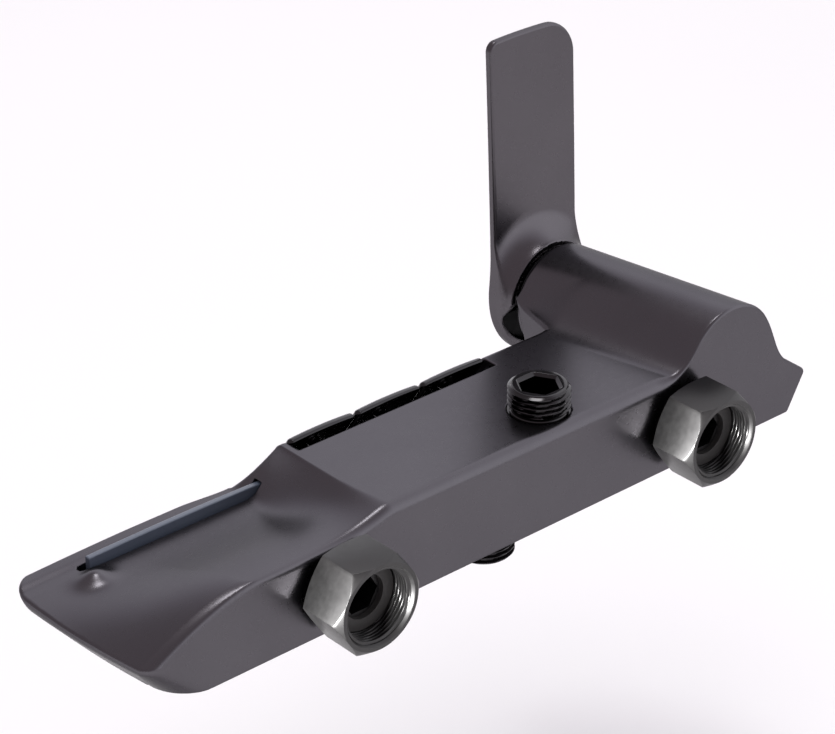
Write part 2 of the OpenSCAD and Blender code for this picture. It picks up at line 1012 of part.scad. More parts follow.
module valve_washer(x) {
    color(rubber)
        body_frame()
            along_depth(x, stem_h)
                translate([0, 0, seat_d - 2])
                    ring(head_r, stem_r + 0.02, 1.9);
}

module valve_washer_left() {
    valve_washer(key_xs[0]);
}

module valve_washer_middle() {
    valve_washer(key_xs[1]);
}

module valve_washer_right() {
    valve_washer(key_xs[2]);
}

module valve_spring(x) {
    color(steel)
        body_frame()
            along_depth(x, stem_h)
                translate([0, 0, chamber_d + 0.1])
                    coil_spring(3, 0.35, seat_d - 5 - chamber_d - 0.2, 4);
}

module valve_spring_left() {
    valve_spring(key_xs[0]);
}

module valve_spring_middle() {
    valve_spring(key_xs[1]);
}

module valve_spring_right() {
    valve_spring(key_xs[2]);
}

// Sleeve that guides a stem and forms the seat, with four feed ports and a seal groove
module valve_sleeve(x) {
    color(brass)
        body_frame()
            along_depth(x, stem_h)
                difference() {
                    translate([0, 0, seat_d])
                        cylinder(r = chamber_r - fit, h = sleeve_len);
                    translate([0, 0, seat_d - over])
                        cylinder(r = stem_r + fit, h = sleeve_len + 2 * over);
                    translate([0, 0, seat_d - over])
                        cylinder(r = 3.9, h = 8);
                    for (a = [45 : 90 : 315])
                        rotate([0, 0, a])
                            translate([0, 0, seat_d + 4])
                                rotate([0, 90, 0])
                                    cylinder(r = 1.6, h = 10);
                    translate([0, 0, seat_d + 8.6])
                        ring(chamber_r + over, chamber_r - 1, 1.6);
                }
}

module valve_sleeve_left() {
    valve_sleeve(key_xs[0]);
}

module valve_sleeve_middle() {
    valve_sleeve(key_xs[1]);
}

module valve_sleeve_right() {
    valve_sleeve(key_xs[2]);
}

module sleeve_seals() {
    color(rubber)
        body_frame()
            for (x = key_xs)
                along_depth(x, stem_h)
                    translate([0, 0, seat_d + 8.7])
                        ring(chamber_r - 0.02, chamber_r - 0.95, 1.4);
}

body_casting();
spout_blade();
outlet_nipple_top();
outlet_nipple_bottom();
nipple_seals();
inlet_tail_left();
inlet_tail_right();
tail_seals();
inlet_gaskets();
check_valve_body_left();
check_valve_body_right();
check_poppet_left();
check_poppet_right();
check_spring_left();
check_spring_right();
union_nut_left();
union_nut_right();
cartridge_base();
base_seals();
fixed_disc();
moving_disc();
disc_carrier();
cartridge_driver();
stem_pin();
cartridge_stem();
cartridge_housing();
clamp_nut();
trim_ring();
lever_handle();
grub_screw();
screw_cap();
key_left();
key_middle();
key_right();
valve_stem_left();
valve_stem_middle();
valve_stem_right();
valve_washer_left();
valve_washer_middle();
valve_washer_right();
valve_spring_left();
valve_spring_middle();
valve_spring_right();
valve_sleeve_left();
valve_sleeve_middle();
valve_sleeve_right();
sleeve_seals();
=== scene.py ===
"""Looks of a wall mounted bath mixer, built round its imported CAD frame.

Shapes are written as distance fields, negative inside, in body millimetres (y = 0 is the
back face and z = 0 the flat face) and meshed by surface nets, or turned on a lathe with
real threads.
"""

import json
import math

import bmesh
import bpy
import numpy as np
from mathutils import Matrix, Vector


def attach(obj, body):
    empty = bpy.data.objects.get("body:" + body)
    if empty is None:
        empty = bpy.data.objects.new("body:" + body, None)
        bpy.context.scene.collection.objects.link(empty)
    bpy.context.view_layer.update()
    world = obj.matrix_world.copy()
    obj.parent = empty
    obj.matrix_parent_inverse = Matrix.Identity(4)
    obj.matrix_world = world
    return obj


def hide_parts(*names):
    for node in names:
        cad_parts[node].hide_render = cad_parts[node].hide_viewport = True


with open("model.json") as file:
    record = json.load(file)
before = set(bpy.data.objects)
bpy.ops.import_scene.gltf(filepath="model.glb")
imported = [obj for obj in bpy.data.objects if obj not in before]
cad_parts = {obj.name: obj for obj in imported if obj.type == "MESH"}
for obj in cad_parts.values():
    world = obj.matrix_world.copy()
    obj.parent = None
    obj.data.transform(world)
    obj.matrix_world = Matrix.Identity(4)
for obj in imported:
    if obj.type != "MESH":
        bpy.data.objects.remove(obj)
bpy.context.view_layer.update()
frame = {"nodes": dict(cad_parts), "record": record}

MM = 0.001
BODY_ORIGIN = np.array([0.0, -20.0, -17.5])     # body millimetres to row millimetres

# Measures shared by several pieces, in body millimetres
BODY_H = 35.0                   # height of the key face
RIM_D = 65.0                    # depth of the front rim
FRONT_RIM_H = 17.5
END_RIM_H = 15.0
BARREL_X = 88.2                 # the barrel's axis lies at x = -BARREL_X at its mouth
HUMP_BACK_X = 98.2              # and at x = -HUMP_BACK_X at the back face
BARREL_H = 31.4
BARREL_R = 19.4
MOUTH_D = 74.4
SKEW = (HUMP_BACK_X - BARREL_X) / MOUTH_D
POCKET_X = 10.0                 # middle of the pocket that holds the keys
KEY_PITCH = 28.3
NIPPLES = {"top": (-23.0, 1), "bottom": (1.0, -1)}      # place in x, and side of the body
NIPPLE_D = 15.0
NIPPLE_IN = 7                   # depth of a nipple in the body
INLET_X = 75.0
INLET_H = 17.5

# Rim at the spout end
END_X = 153.5                   # its furthest point, where the front corner starts
END_BOW = 3.5                   # how far it draws in towards the back
BACK_CORNER_X = 150.5           # how far the back corner's arc reaches
BACK_CORNER_R = 8.4
FRONT_CORNER_R = 12.0
FRONT_CORNER_D = 54.0           # depth at which the front corner starts
END_RUN = 13.0                  # how far the slope under the rim draws in
END_SLOPE = 19.85               # length of that slope

# Spout surface, and the step down to it from the key face
WING_FRONT_H = 18.4
WING_RISE = 12.4                # from the front rim up to the back face
WING_FADE = 39.0                # length over which it runs out to the end rim
END_BACK_H = 15.4
END_RISE = 2.2                  # from the back corner up to the front one
STEP_X = 55.8
STEP_SHIFT = 1.2                # how much further out the step starts at the back face
STEP_RUN = 13.0                 # length of the step at the front
STEP_RUN_BACK = 20.0            # how much longer it is at the back face
STEP_CREST_R = 2.0
DOME = (131.2, -48.7)
DOME_H = 3.2
DOME_R = (5.4, 4.6)
LIP_H = 0.8                     # how far the rim in front of the blade stands up
LIP_D = 57.5
LIP_RISE = 4.0                  # depth over which it rises
LIP_X = 68.0
LIP_START = 20.0                # length over which it starts

# Sloping front, as corners in depth and height
FRONT_TOP_D = 53.0
FRONT_TOP = ((-FRONT_TOP_D, BODY_H), (-RIM_D, FRONT_RIM_H))
FRONT_LOW = ((-RIM_D, FRONT_RIM_H), (-56.0, 0.0))
FRONT_TOP_R = 1.2
FRONT_LOW_R = 1.4
FRONT_TOP_END = 66.0            # the slope above the rim runs out here, over SLOPE_FADE
SLOPE_FADE = 8.0
NO_CUT = 30.0                   # a distance that takes a cut clear of the body
NEAR_BARREL = ((27.5, -57.0), (19.9, -75.0))    # end of the front beside the barrel

# Fin beyond the barrel, as corners from the barrel's axis
FIN_TOP = ((-38.2, -16.5), (-29.4, -10.0))
FIN_SIDE = ((-32.2, -29.9), (-38.0, -19.6))
FIN_EDGE_R = 1.7
FIN_FILLET = 10.2               # reached over FIN_FILLET_RISE, from FIN_FILLET_U outwards
FIN_FILLET_U = 5.0
FIN_FILLET_RISE = 8.0

# Barrel, and the fillet between it and the slab
BARREL_FLARE = 1.1              # how much wider it is at the back face
MOUTH_EDGE_R = 1.1
FILLET_BACK = 8.0
FILLET_FRONT = 14.0
FILLET_MOUTH = 5.5              # reached over MOUTH_FADE, from MOUTH_FADE_D on
MOUTH_FADE_D = 50.0
MOUTH_FADE = 20.0

# Edges of the back face, which are rounder along the middle of the body
BACK_EDGE_R = 1.3
BACK_EDGE_MORE = 2.7
BACK_ROUND = ((-76.0, 12.0), (118.0, 60.0))     # its two ends, and how gently each sets in
END_RIM_R = 2.5
END_EDGE_R = 1.6
END_LOW_R = 6.0                 # how much rounder the back corner is at the flat face
FLAT_EDGE_R = 0.9

# Openings
POCKET_HALF = 42.65
POCKET_D = 46.0
POCKET_FLOOR = 13.5
SLOT_X = 91.3
SLOT_HALF = 39.0
SLOT_D = 56.7
SLOT_HALF_W = 0.4
SLOT_R = 1.4
SLOT_FLOOR = 9
SLOT_TOP = 22
INLET_BORE_R = 10.6
INLET_BORE_D = 12
NIPPLE_BORE_R = 10.55
MOUTH_BORES = ((14.7, 13), (13, 44))            # radius and depth
POCKET_EDGE_R = 0.45
SLOT_EDGE_R = 0.35
BORE_EDGE_R = 0.4
NIPPLE_BORE_EDGE_R = 0.3


# ---------------------------------------------------------------- distance fields

def rmax(a, b, r):
    """Intersection of two fields, with a rounded edge of radius r."""
    return np.minimum(-r, np.maximum(a, b)) + np.hypot(np.maximum(a + r, 0), np.maximum(b + r, 0))


def rmin(a, b, r):
    """Union of two fields, with a fillet of radius r."""
    return -rmax(-a, -b, r)


def step01(t):
    """A smooth step from 0 at t = 0 to 1 at t = 1."""
    t = np.clip(t, 0, 1)
    return t * t * (3 - 2 * t)


def plane(u, v, start, end):
    """Signed distance to the line through two points, positive on the left of its run."""
    du = end[0] - start[0]
    dv = end[1] - start[1]
    return ((v - start[1]) * du - (u - start[0]) * dv) / math.hypot(du, dv)


def rim_end(y, back_r=BACK_CORNER_R):
    """Where the rim at the spout end lies, with its two rounded corners."""
    bow_length = FRONT_CORNER_D - BACK_CORNER_R
    side = END_X - END_BOW * ((y + FRONT_CORNER_D) / bow_length) ** 2
    in_back = back_r ** 2 - (np.minimum(y, 0) + back_r) ** 2
    back = BACK_CORNER_X - back_r + np.sqrt(np.maximum(in_back, 0))
    in_front = FRONT_CORNER_R ** 2 - (np.maximum(y, -RIM_D) + FRONT_CORNER_D) ** 2
    front = END_X - FRONT_CORNER_R + np.sqrt(np.maximum(in_front, 0))
    return np.where(y > -back_r, np.minimum(back, side), np.where(y < -FRONT_CORNER_D, front, side))


def top_height(x, y):
    """Height of the key face, of the step down from it and of the spout surface."""
    depth = np.clip(-y / FRONT_CORNER_D, 0, 1)
    side = WING_FRONT_H + WING_RISE * 0.5 * (1 + np.cos(math.pi * depth))
    from_end = np.clip((rim_end(y) - x - 1) / WING_FADE, 0, 1)
    end = END_BACK_H + END_RISE * depth ** 1.5
    wing = end + (side - end) * (1 - (1 - from_end) ** 1.5)
    run_length = STEP_RUN + STEP_RUN_BACK * (1 - depth) ** 1.3
    run = (x - STEP_X - STEP_SHIFT * (1 - depth)) / run_length
    step = wing + (BODY_H - wing) * np.maximum(1 - run, 0) ** 2.7
    crested = BODY_H - rmax(BODY_H - step, np.zeros_like(step), STEP_CREST_R)
    from_dome = ((x - DOME[0]) / DOME_R[0]) ** 2 + ((y - DOME[1]) / DOME_R[1]) ** 2
    lip = LIP_H * step01((-y - LIP_D) / LIP_RISE) * step01((x - LIP_X) / LIP_START)
    return crested + DOME_H * np.exp(-from_dome) + lip


def slope_of(f, x, y, e=0.4):
    """How much longer than its height the surface z = f(x, y) runs."""
    fx = (f(x + e, y) - f(x - e, y)) / (2 * e)
    fy = (f(x, y + e) - f(x, y - e)) / (2 * e)
    return np.sqrt(1 + fx * fx + fy * fy)


def outside_field(x, y, z):
    """Slab and spout under one surface, the barrel across them and the fin beyond it."""
    u = x + HUMP_BACK_X + SKEW * y
    v = z - BARREL_H
    front_up = -plane(y, z, *FRONT_TOP)
    front_low = -plane(y, z, *FRONT_LOW)

    flare = BARREL_R + BARREL_FLARE * np.clip((y + MOUTH_D) / MOUTH_D, 0, 1)
    tube = (np.hypot(u, v) - flare) / math.hypot(1, SKEW)
    tube = rmax(tube, -(y + MOUTH_D), MOUTH_EDGE_R)

    fin = rmax(plane(u, v, *FIN_TOP), plane(u, v, *FIN_SIDE), FIN_EDGE_R)
    fin = np.maximum(rmax(fin, front_up, FRONT_TOP_R), u)
    fin = rmax(fin, front_low, FRONT_LOW_R)
    fin_fillet = 0.01 + FIN_FILLET * step01((-u - FIN_FILLET_U) / FIN_FILLET_RISE)
    fin = rmin(fin, tube, fin_fillet)

    top = (z - top_height(x, y)) / slope_of(top_height, x, y)
    fillet = FILLET_BACK + (FILLET_FRONT - FILLET_BACK) * np.clip(-y / FRONT_TOP_D, 0, 1)
    fillet = fillet + (FILLET_MOUTH - fillet) * step01((-y - MOUTH_FADE_D) / MOUTH_FADE)
    slab = rmin(np.maximum(top, -u), tube, fillet)
    slope_end = NO_CUT * step01((x - FRONT_TOP_END) / SLOPE_FADE)
    front_top = np.minimum(front_up - slope_end, plane(u, y, *NEAR_BARREL))
    slab = rmax(rmax(slab, front_top, FRONT_TOP_R), front_low, FRONT_LOW_R)
    return np.minimum(np.minimum(slab, tube), fin)


def ended(shape, x, y, z):
    """The shape cut off by the spout end, the back face and the flat face."""
    depth_y = np.clip(y, -RIM_D, 0)
    low = np.clip((END_RIM_H - z) / END_RIM_H, 0, 1)
    low_rim = rim_end(depth_y, BACK_CORNER_R + END_LOW_R * low)
    under = ((x - low_rim) * END_RIM_H - (z - END_RIM_H) * END_RUN) / END_SLOPE
    end = rmax(under, x - rim_end(depth_y), END_RIM_R)
    shape = rmax(shape, end, END_EDGE_R)
    (near_x, near_fade), (far_x, far_fade) = BACK_ROUND
    middle = step01((x - near_x) / near_fade) * step01((far_x - x) / far_fade)
    shape = rmax(shape, y, BACK_EDGE_R + BACK_EDGE_MORE * middle)
    return rmax(shape, -z, FLAT_EDGE_R)


def opened(shape, x, y, z):
    """The shape with the key pocket, the blade slot and the bores cut out."""
    pocket = np.maximum(y + POCKET_D, POCKET_FLOOR - z)
    pocket = np.maximum(np.abs(x - POCKET_X) - POCKET_HALF, pocket)
    shape = rmax(shape, -pocket, POCKET_EDGE_R)
    along = np.maximum(np.abs(x - SLOT_X) - SLOT_HALF, 0)
    across = np.maximum(np.abs(y + SLOT_D) - SLOT_HALF_W, 0)
    slot = np.maximum(np.hypot(along, across) - SLOT_R, np.maximum(SLOT_FLOOR - z, z - SLOT_TOP))
    shape = rmax(shape, -slot, SLOT_EDGE_R)
    for inlet_x in (-INLET_X, INLET_X):
        bore = np.hypot(x - inlet_x, z - INLET_H) - INLET_BORE_R
        shape = rmax(shape, -np.maximum(bore, -(y + INLET_BORE_D)), BORE_EDGE_R)
    for nipple_x, side in NIPPLES.values():
        depth = (BODY_H - z) if side > 0 else z
        bore = np.hypot(x - nipple_x, y + NIPPLE_D) - NIPPLE_BORE_R
        shape = rmax(shape, -np.maximum(bore, depth - NIPPLE_IN), NIPPLE_BORE_EDGE_R)
    r = np.hypot(x + BARREL_X, z - BARREL_H)
    wide, deep = [np.maximum(r - bore_r, y + MOUTH_D - depth) for bore_r, depth in MOUTH_BORES]
    return rmax(shape, -np.minimum(wide, deep), BORE_EDGE_R)


def body_field(x, y, z):
    return opened(ended(outside_field(x, y, z), x, y, z), x, y, z)


# ---------------------------------------------------------------- meshing

def gradient(f, p, e=0.03):
    """The field's gradient at points p, over steps of e each way."""
    g = np.empty_like(p)
    for a in range(3):
        hi = p.copy()
        lo = p.copy()
        hi[:, a] += e
        lo[:, a] -= e
        g[:, a] = (f(*hi.T) - f(*lo.T)) / (2 * e)
    return g


def onto_surface(f, p, reach, rounds=4):
    """Moves points onto the field's zero surface, no further than reach."""
    start = p.copy()
    for _ in range(rounds):
        g = gradient(f, p)
        p = p - g * (f(*p.T) / np.maximum((g * g).sum(1), 0.05))[:, None]
        off = p - start
        far = np.linalg.norm(off, axis=1, keepdims=True)
        p = start + off * np.minimum(1, reach / np.maximum(far, 1e-9))
    return p


def surface_net(f, lo, hi, h):
    """Vertices and quads of the field's zero surface, on a grid of h millimetres."""
    axes = [np.arange(a - 1.5 * h, b + 2 * h, h) for a, b in zip(lo, hi)]
    shape = [len(a) for a in axes]
    values = np.empty(shape)
    yy, zz = np.meshgrid(axes[1], axes[2], indexing="ij")
    for i, x in enumerate(axes[0]):
        values[i] = f(np.full_like(yy, x), yy, zz)
    inside = values < 0
    corners = [(i, j, k) for i in (0, 1) for j in (0, 1) for k in (0, 1)]
    cells = tuple(s - 1 for s in shape)
    count = np.zeros(cells, int)
    for i, j, k in corners:
        count += inside[i:i + cells[0], j:j + cells[1], k:k + cells[2]]
    at = np.argwhere((count > 0) & (count < 8))
    number = np.full(cells, -1)
    number[tuple(at.T)] = np.arange(len(at))

    total = np.zeros((len(at), 3))
    hits = np.zeros(len(at))
    for a in corners:
        for axis in range(3):
            if a[axis]:
                continue
            b = list(a)
            b[axis] = 1
            fa = values[tuple((at + a).T)]
            fb = values[tuple((at + b).T)]
            crossed = (fa < 0) != (fb < 0)
            t = fa / np.where(crossed, fa - fb, 1)
            point = np.tile(np.array(a, float), (len(at), 1))
            point[:, axis] = t
            total += point * crossed[:, None]
            hits += crossed
    verts = (at + total / hits[:, None]) * h + np.array([a[0] for a in axes])

    quads = []
    for axis in range(3):
        u, v = [a for a in range(3) if a != axis]
        first = [slice(1, -1)] * 3
        second = [slice(1, -1)] * 3
        first[axis] = slice(0, -1)
        second[axis] = slice(1, None)
        one = inside[tuple(first)]
        two = inside[tuple(second)]
        edge = np.argwhere(one != two) + [0 if a == axis else 1 for a in range(3)]
        low_in = inside[tuple(edge.T)]
        ring = []
        for du, dv in ((-1, -1), (0, -1), (0, 0), (-1, 0)):
            cell = edge.copy()
            cell[:, u] += du
            cell[:, v] += dv
            ring.append(number[tuple(cell.T)])
        quad = np.stack(ring, 1)
        flip = low_in if axis == 1 else ~low_in
        quad[flip] = quad[flip][:, ::-1]
        quads.append(quad)
    return verts, np.concatenate(quads)


def mesh_object(name, verts, faces):
    mesh = bpy.data.meshes.new(name)
    mesh.from_pydata(verts.tolist(), [], faces)
    mesh.update()
    obj = bpy.data.objects.new(name, mesh)
    bpy.context.scene.collection.objects.link(obj)
    return obj


def applied(obj, name):
    """A new object with obj's modifiers applied, in its place."""
    graph = bpy.context.evaluated_depsgraph_get()
    mesh = bpy.data.meshes.new_from_object(obj.evaluated_get(graph), depsgraph=graph)
    bpy.data.objects.remove(obj)
    done = bpy.data.objects.new(name, mesh)
    bpy.context.scene.collection.objects.link(done)
    return done


def field_object(name, f, lo, hi, h, keep, to_row):
    """The surface of a field, thinned to keep of its faces, with the field's own normals."""
    verts, quads = surface_net(f, lo, hi, h)
    verts = onto_surface(f, verts, h)
    rough = mesh_object(name + "_net", verts, quads.tolist())
    thin = rough.modifiers.new("thin", "DECIMATE")
    thin.ratio = keep
    obj = applied(rough, name)
    mesh = obj.data
    tidy = bmesh.new()
    tidy.from_mesh(mesh)
    bmesh.ops.dissolve_degenerate(tidy, dist=0.08, edges=tidy.edges)
    bmesh.ops.triangulate(tidy, faces=tidy.faces)
    tidy.to_mesh(mesh)
    tidy.free()
    p = np.empty(len(mesh.vertices) * 3)
    mesh.vertices.foreach_get("co", p)
    p = onto_surface(f, p.reshape(-1, 3), 0.3 * h, 2)
    normals = gradient(f, p)
    normals /= np.maximum(np.linalg.norm(normals, axis=1, keepdims=True), 1e-9)
    placed = to_row(p) * MM
    turned = to_row(p + normals) - to_row(p)
    mesh.vertices.foreach_set("co", placed.astype(np.float32).ravel())
    mesh.update()
    mesh.shade_smooth()
    mesh.normals_split_custom_set_from_vertices(turned.tolist())
    return obj


def body_to_row(p):
    """From body millimetres to row millimetres."""
    return p + BODY_ORIGIN


def hub_to_row(p):
    """From the lever's axis frame (+z out of the barrel, +y up) to the row frame."""
    on_body = np.stack([p[:, 0] - BARREL_X, -MOUTH_D - p[:, 2], BARREL_H + p[:, 1]], 1)
    return body_to_row(on_body)


# ---------------------------------------------------------------- lever

# In millimetres from the lever's axis: x to its left, y up the paddle, z out of the barrel
LEVER_H = 97.0
LEVER_FRONT = 13.6              # height of the paddle's front face at the axis
LEVER_LEAN = math.tan(math.radians(2))
PADDLE_T = 3.1
PADDLE_LEFT = 19.7
PADDLE_RIGHT = 19.6
PADDLE_SHIFT = 1.2              # how far the paddle's top lies to the left
PADDLE_EDGE_R = 1.15
FRONT_EDGE_R = 1.3
TOP_LEFT_R = 3.6
TOP_RIGHT_R = 12.5
FOOT_LEFT = 20.9
FOOT_RIGHT = 19.6
FOOT_LOW = 24.8
HUB_R = 19.2
HUB_RIM = 2.8
HOLLOW_R = 17.2
HOLLOW_D = 8.6
HOLLOW_MORE_D = 2.4             # how much deeper it is below the axis
HUB_RIM_LOW = 4.4               # how much further out the hub's rim lies below the axis
HUB_EDGE_R = 0.35
HOLLOW_EDGE_R = 0.4
SOCKET_D = 10.3
BOSS_R = 6
SOCKET_HALF = 3.05
SCREW_R = 2.55
SCREW_Z = 9.5


def lever_outline(x, y):
    """The lever seen along its axis: the paddle with its rounded top, and the round foot."""
    up = np.clip(y / LEVER_H, 0, 1)
    shift = PADDLE_SHIFT * up ** 1.5
    left = x - (PADDLE_LEFT + shift + 1.2 * np.exp(-(y / 9) ** 2))
    right = -x - (PADDLE_RIGHT - shift)
    crown = y - (LEVER_H - 0.5 - 0.0018 * (x - 5) ** 2)
    paddle = np.where(x > 0, rmax(left, crown, TOP_LEFT_R), rmax(right, crown, TOP_RIGHT_R))
    foot_side = np.where(x > 0, FOOT_LEFT, FOOT_RIGHT)
    foot = (np.hypot(x / foot_side, y / FOOT_LOW) - 1) * 19
    return np.minimum(np.maximum(paddle, -y), np.maximum(foot, y - 1))


def lever_field(x, y, z):
    r = np.hypot(x, y)
    lean = LEVER_LEAN * np.maximum(y, -22)
    front = z - LEVER_FRONT - lean
    back = (LEVER_FRONT + lean - PADDLE_T) - z
    rim = HUB_RIM + HUB_RIM_LOW * step01((2 - y) / 9)
    hub = rmax(r - (HUB_R + 0.12 * np.clip(z - HUB_RIM, 0, 12)), rim - z, HUB_EDGE_R)
    shape = rmin(hub, back, 8 + 2 * np.clip(y / 19, 0, 1))
    shape = rmax(shape, lever_outline(x, y), PADDLE_EDGE_R)
    shape = rmax(shape, front, FRONT_EDGE_R)
    shape = np.maximum(shape, rim - z)
    # The hollow is wider and deeper below the axis
    low = step01(-y / 6)
    hollow_side = r - HOLLOW_R - (1.8 + 1.1 * step01(x / 6)) * low
    hollow = rmax(hollow_side, z - HOLLOW_D - HOLLOW_MORE_D * low, 1.0)
    shape = rmax(shape, -hollow, HOLLOW_EDGE_R)
    boss = np.maximum(np.maximum(r - BOSS_R, 5.0 - z), z - LEVER_FRONT + 1)
    shape = np.minimum(shape, boss)
    socket = np.maximum(np.maximum(np.abs(x), np.abs(y)) - SOCKET_HALF, z - SOCKET_D)
    screw = np.maximum(np.hypot(x, z - SCREW_Z) - SCREW_R, y + 3)
    return np.maximum(np.maximum(shape, -socket), -screw)


# Painted shade: a thin black sheet placed in the lever's hollow so that the hollow reads as shade
SHADE_SHEET_Z = 10.4
SHADE_SHEET_HALF_T = 0.45
SHADE_SHEET_TOP = -6.2
SHADE_SHEET_R = (6.4, 19.6)


def shade_sheet_field(x, y, z):
    """A dark half ring at the bottom of the lever's hollow: painted shade, a black sheet that
    stands for the deep shade inside the hollow.
    """
    r = np.hypot(x, y)
    flat = np.maximum(np.abs(z - SHADE_SHEET_Z) - SHADE_SHEET_HALF_T, y - SHADE_SHEET_TOP)
    return np.maximum(flat, np.maximum(r - SHADE_SHEET_R[1], SHADE_SHEET_R[0] - r))


# ---------------------------------------------------------------- keys

KEY_HALF = KEY_PITCH / 2 - 0.35
KEY_FRONT = ((-53.9, 35.0), (-67.2, 15.0))      # the front face, as corners in depth and height
KEY_WALL = 2.9
KEY_REAR_D = 50.6
KEY_TOP = 35.9
KEY_FOOT = 14.3
KEY_EDGE_R = 0.8
KEY_SIDE_R = 1.6
NOTCH_D = 54.3
BOSS_H = 24                     # height of the boss that takes the valve stem
KEY_BOSS_R = 4.2
STEM_BORE_R = 2.55
PEG = (5, 32.4)
PEG_R = 1.7
PEG_BORE_R = 0.8
PEG_END_D = 48.2
BOSS_FRONT_D = 57               # the boss and its bore end inside the front wall
CROWN_FRONT = 0.35              # how far the front and the top are crowned
CROWN_TOP = 0.5


def key_field(x, y, z):
    """One key, x from its middle, in body millimetres otherwise."""
    front = plane(y, z, *KEY_FRONT) * -1 + CROWN_FRONT * (x / KEY_HALF) ** 2
    rear = np.maximum(-front - KEY_WALL, y + KEY_REAR_D)
    top = z - KEY_TOP + CROWN_TOP * (x / KEY_HALF) ** 2
    shape = rmax(front, rear, KEY_EDGE_R)
    shape = rmax(shape, rmax(top, KEY_FOOT - z, KEY_EDGE_R), KEY_EDGE_R)
    shape = rmax(shape, np.abs(x) - KEY_HALF, KEY_SIDE_R)
    notch = np.maximum(np.hypot(x / 1.7, y + NOTCH_D) - 0.7, 33.9 - z)
    shape = rmax(shape, -notch, 0.25)
    r = np.hypot(x, z - BOSS_H)
    boss = np.maximum(r - KEY_BOSS_R, np.maximum(y + 50, -(y + BOSS_FRONT_D)))
    shape = np.minimum(shape, boss)
    peg_r = np.hypot(x - PEG[0], z - PEG[1])
    peg = rmax(rmax(peg_r - PEG_R, y + PEG_END_D, 0.4), PEG_BORE_R - peg_r, 0.2)
    shape = np.minimum(shape, np.maximum(peg, -(y + 52)))
    return np.maximum(shape, -np.maximum(r - STEM_BORE_R, -(y + BOSS_FRONT_D)))


# ---------------------------------------------------------------- blade

BLADE_X = 91.0
BLADE_HALF = 37.3
BLADE_D = 56.9
BLADE_HALF_T = 1.1
BLADE_TOP = 21.2
BLADE_FOOT = 9.02


def blade_field(x, y, z):
    crown = 0.5 * np.sin(math.pi * np.clip((x - 54) / 74, 0, 1))
    plate = rmax(np.abs(x - BLADE_X) - BLADE_HALF, np.abs(y + BLADE_D) - BLADE_HALF_T, 0.35)
    return np.maximum(rmax(plate, z - (BLADE_TOP + crown), 0.45), BLADE_FOOT - z)


# ---------------------------------------------------------------- turned parts

def around(turns):
    return np.arange(turns) * 2 * math.pi / turns


def lathe(name, rows, turns, place):
    """Skins rows of rings into a closed form. Each row of the profile gives the radius and
    the height of one ring, as a number or as one value for every angle."""
    angles = around(turns)
    rings = []
    for r, z in rows:
        r = np.broadcast_to(r, turns)
        z = np.broadcast_to(z, turns)
        rings.append(np.stack([r * np.cos(angles), r * np.sin(angles), z], 1))
    faces = []
    for i in range(len(rows)):
        a = i * turns
        b = ((i + 1) % len(rows)) * turns
        for j in range(turns):
            k = (j + 1) % turns
            faces.append([a + j, a + k, b + k, b + j])
    obj = mesh_object(name, place(np.concatenate(rings)) * MM, faces)
    obj.data.shade_smooth()
    return obj


def sharp_edges(obj, degrees):
    obj.data.set_sharp_from_angle(angle=math.radians(degrees))


def hex_radius(angles, af, corner):
    """Radius of a hexagon with rounded corners at the given angles."""
    a = (angles + math.pi / 6) % (math.pi / 3) - math.pi / 6
    flat_dir = np.abs(a)
    flat = af / 2 / np.cos(math.pi / 6 - flat_dir)
    centre = (af / 2 - corner) / math.cos(math.pi / 6)
    disc = centre * np.cos(flat_dir) + np.sqrt(
        np.maximum(corner ** 2 - (centre * np.sin(flat_dir)) ** 2, 0))
    limit = math.atan2(corner * math.sin(math.pi / 6), centre + corner * math.cos(math.pi / 6))
    return np.where(flat_dir < limit, disc, flat)


def thread_rows(crest, root, z0, z1, pitch, turns, clear0, clear1):
    """Profile rows of a helical thread from z0 to z1 whose ridges run out at both ends,
    over clear0 and clear1."""
    angles = np.arange(turns) / turns
    rows = []
    count = int((z1 - z0) / pitch * 8)
    for i in range(count + 1):
        z = z0 + (z1 - z0) * i / count
        phase = (z / pitch - angles) % 1
        ridge = np.clip(1.25 - np.abs(phase - 0.5) * 3.2, 0, 1)
        ridge = ridge * ridge * (3 - 2 * ridge)
        fade = min(1, max(0, (z - z0) / clear0)) * min(1, max(0, (z1 - z) / clear1))
        rows.append((root + (crest - root) * ridge * fade, z))
    return rows


# ---------------------------------------------------------------- materials

def new_material(name):
    m = bpy.data.materials.new(name)
    m.use_nodes = True
    tree = m.node_tree
    return m, tree, tree.nodes["Principled BSDF"]


def noise(tree, scale, detail):
    """A noise texture in object space, in metres."""
    coords = tree.nodes.new("ShaderNodeTexCoord")
    tex = tree.nodes.new("ShaderNodeTexNoise")
    tex.inputs["Scale"].default_value = scale
    tex.inputs["Detail"].default_value = detail
    tree.links.new(coords.outputs["Object"], tex.inputs["Vector"])
    return tex


def ramp(tree, source, low, high, lo_at=0.3, hi_at=0.7):
    """A colour that goes from low to high between two values of the source."""
    node = tree.nodes.new("ShaderNodeValToRGB")
    node.color_ramp.elements[0].position = lo_at
    node.color_ramp.elements[1].position = hi_at
    node.color_ramp.elements[0].color = (*low, 1)
    node.color_ramp.elements[1].color = (*high, 1)
    tree.links.new(source, node.inputs["Fac"])
    return node


def vary_roughness(tree, shader, tex, low, high):
    """Roughness between low and high, by a noise texture."""
    node = tree.nodes.new("ShaderNodeMapRange")
    node.inputs["From Min"].default_value = 0.3
    node.inputs["From Max"].default_value = 0.7
    node.inputs["To Min"].default_value = low
    node.inputs["To Max"].default_value = high
    tree.links.new(tex.outputs["Fac"], node.inputs["Value"])
    tree.links.new(node.outputs["Result"], shader.inputs["Roughness"])


def add_bump(tree, shader, tex, height_mm):
    node = tree.nodes.new("ShaderNodeBump")
    node.inputs["Strength"].default_value = 1.0
    node.inputs["Distance"].default_value = height_mm * MM
    tree.links.new(tex.outputs["Fac"], node.inputs["Height"])
    tree.links.new(node.outputs["Normal"], shader.inputs["Normal"])


